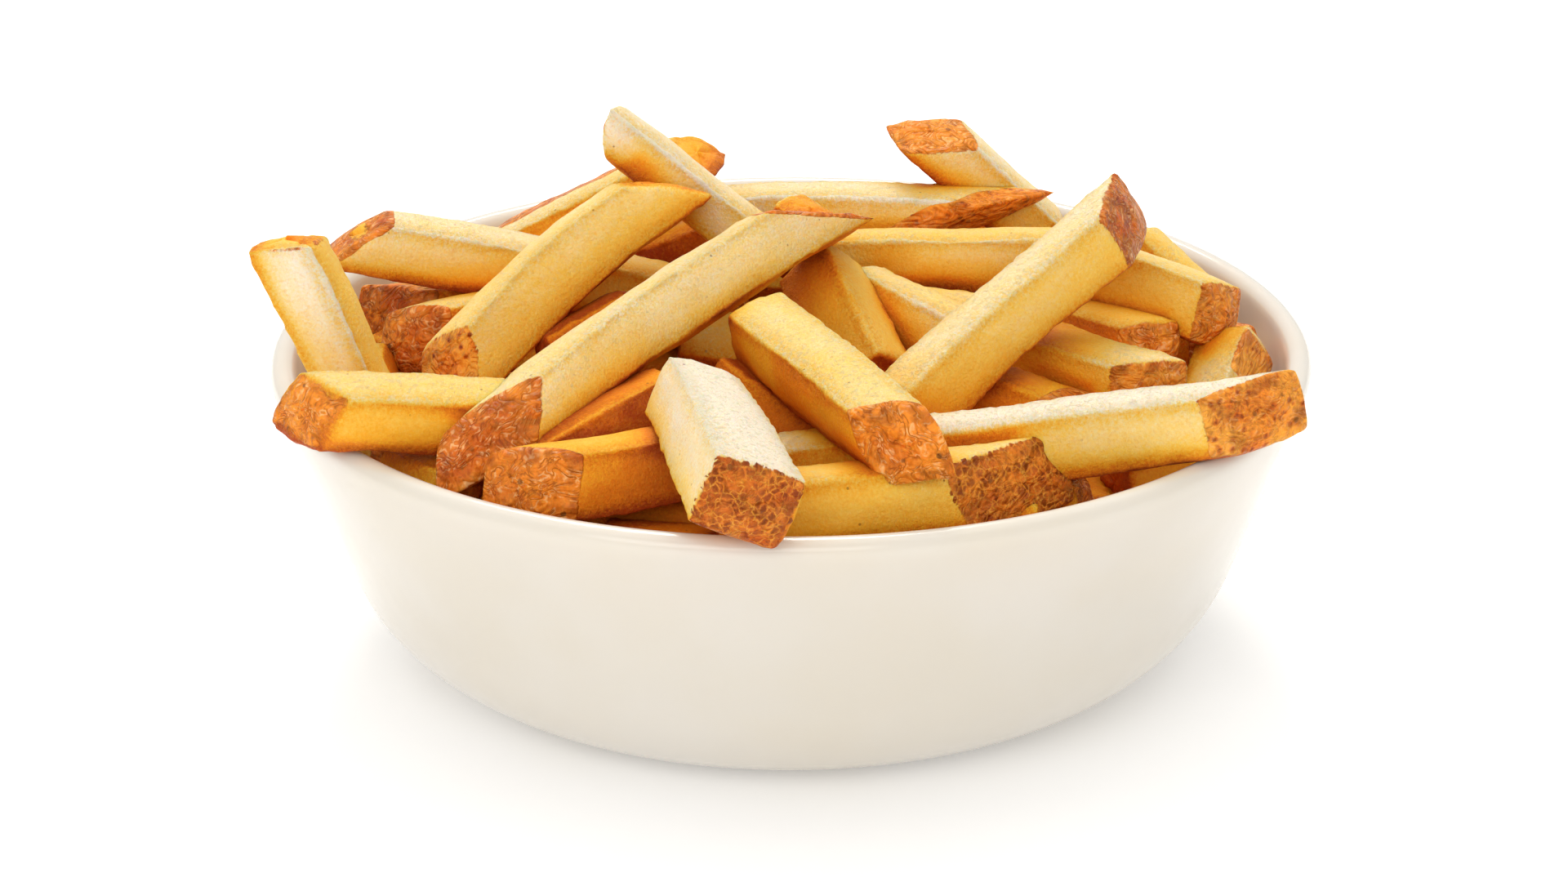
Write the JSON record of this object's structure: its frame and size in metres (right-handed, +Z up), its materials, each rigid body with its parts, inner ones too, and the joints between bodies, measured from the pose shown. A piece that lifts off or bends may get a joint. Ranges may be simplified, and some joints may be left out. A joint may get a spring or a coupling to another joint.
{
  "type": "bowl of french fries",
  "caption": "Round white glazed bowl heaped with thick-cut skin-on french fries, some hanging over the rim.",
  "frame": {"origin": "middle of the bowl's flat base, where it stands", "axes": "+Z up along the bowl's axis; -Y is the front, where a fry hangs over the rim; +X is to the right of that view"},
  "size_m": [0.16, 0.1655, 0.0824],
  "materials": {
    "bowl_glaze": "warm white gloss glaze",
    "fried_potato": "golden fried potato, slightly oily, with brown wrinkled skin on the ends"
  },
  "bodies": {
    "root": {"bowl": "bowl_glaze", "fries": "fried_potato"}
  },
  "joints": []
}
